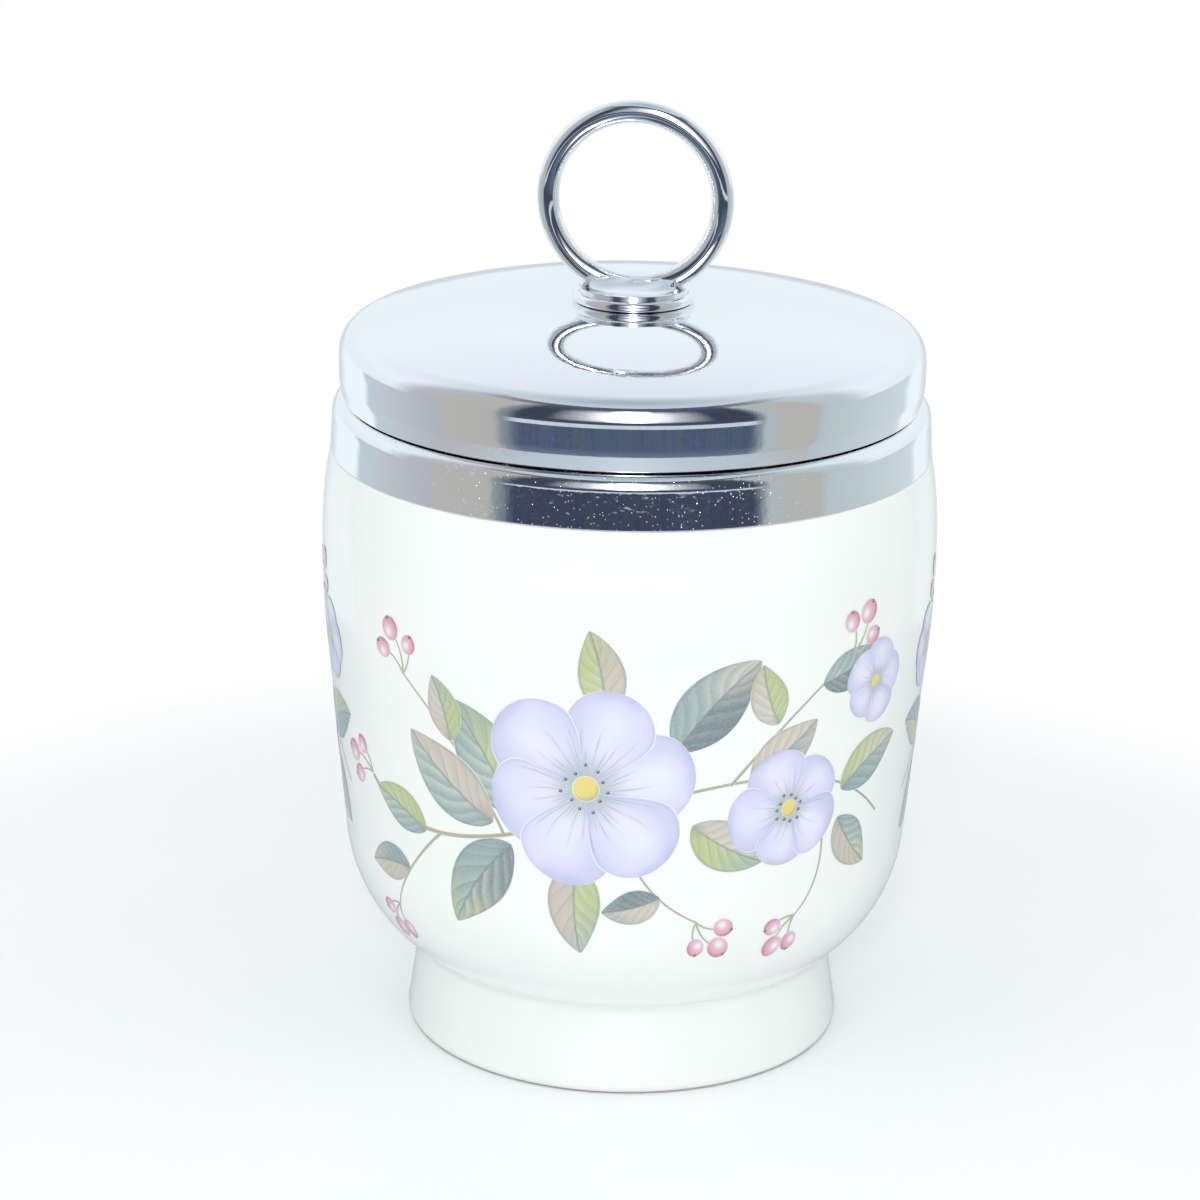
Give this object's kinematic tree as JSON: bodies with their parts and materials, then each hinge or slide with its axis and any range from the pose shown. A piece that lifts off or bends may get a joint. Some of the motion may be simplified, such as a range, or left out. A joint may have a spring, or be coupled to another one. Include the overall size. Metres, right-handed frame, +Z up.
{
  "type": "egg coddler",
  "caption": "Round lidded porcelain cup on a foot ring, with a screw collar and a screw-on domed metal lid carrying an upright lifting ring.",
  "frame": {"origin": "middle of the foot's resting plane", "axes": "+Z up along the cup's axis; the lifting ring stands in the XZ plane"},
  "size_m": [0.0648, 0.0648, 0.1003],
  "materials": {
    "glazed_china": "clear glossy glaze over white bone china with a printed floral band",
    "fixing_cement": "matt set plaster",
    "collar_plate": "polished plate",
    "lid_plate": "polished plate",
    "handle_plate": "polished plate",
    "thread_ring_metal": "satin"
  },
  "bodies": {
    "cup": {"porcelain_cup": "glazed_china", "collar_cement": "fixing_cement", "screw_collar": "collar_plate"},
    "lid_lift": {"spigot_washer": "thread_ring_metal"},
    "lid": {"lid_shell": "lid_plate", "lid_thread_ring": "thread_ring_metal", "ring_saddle": "handle_plate", "lifting_ring": "handle_plate"}
  },
  "joints": [
    {"name": "thread_rise", "type": "slide", "parent": "cup", "child": "lid_lift", "axis": [0, 0, 1], "range_m": [0, 0.0081]},
    {"name": "lid_turn", "type": "hinge", "parent": "lid_lift", "child": "lid", "pos_m": [0, 0, 0.0697], "axis": [0, 0, 1], "range_deg": [0, 900]}
  ],
  "couplings": [
    {"joint": "thread_rise", "follows": "lid_turn", "m_per_rad": 0.0005093}
  ]
}
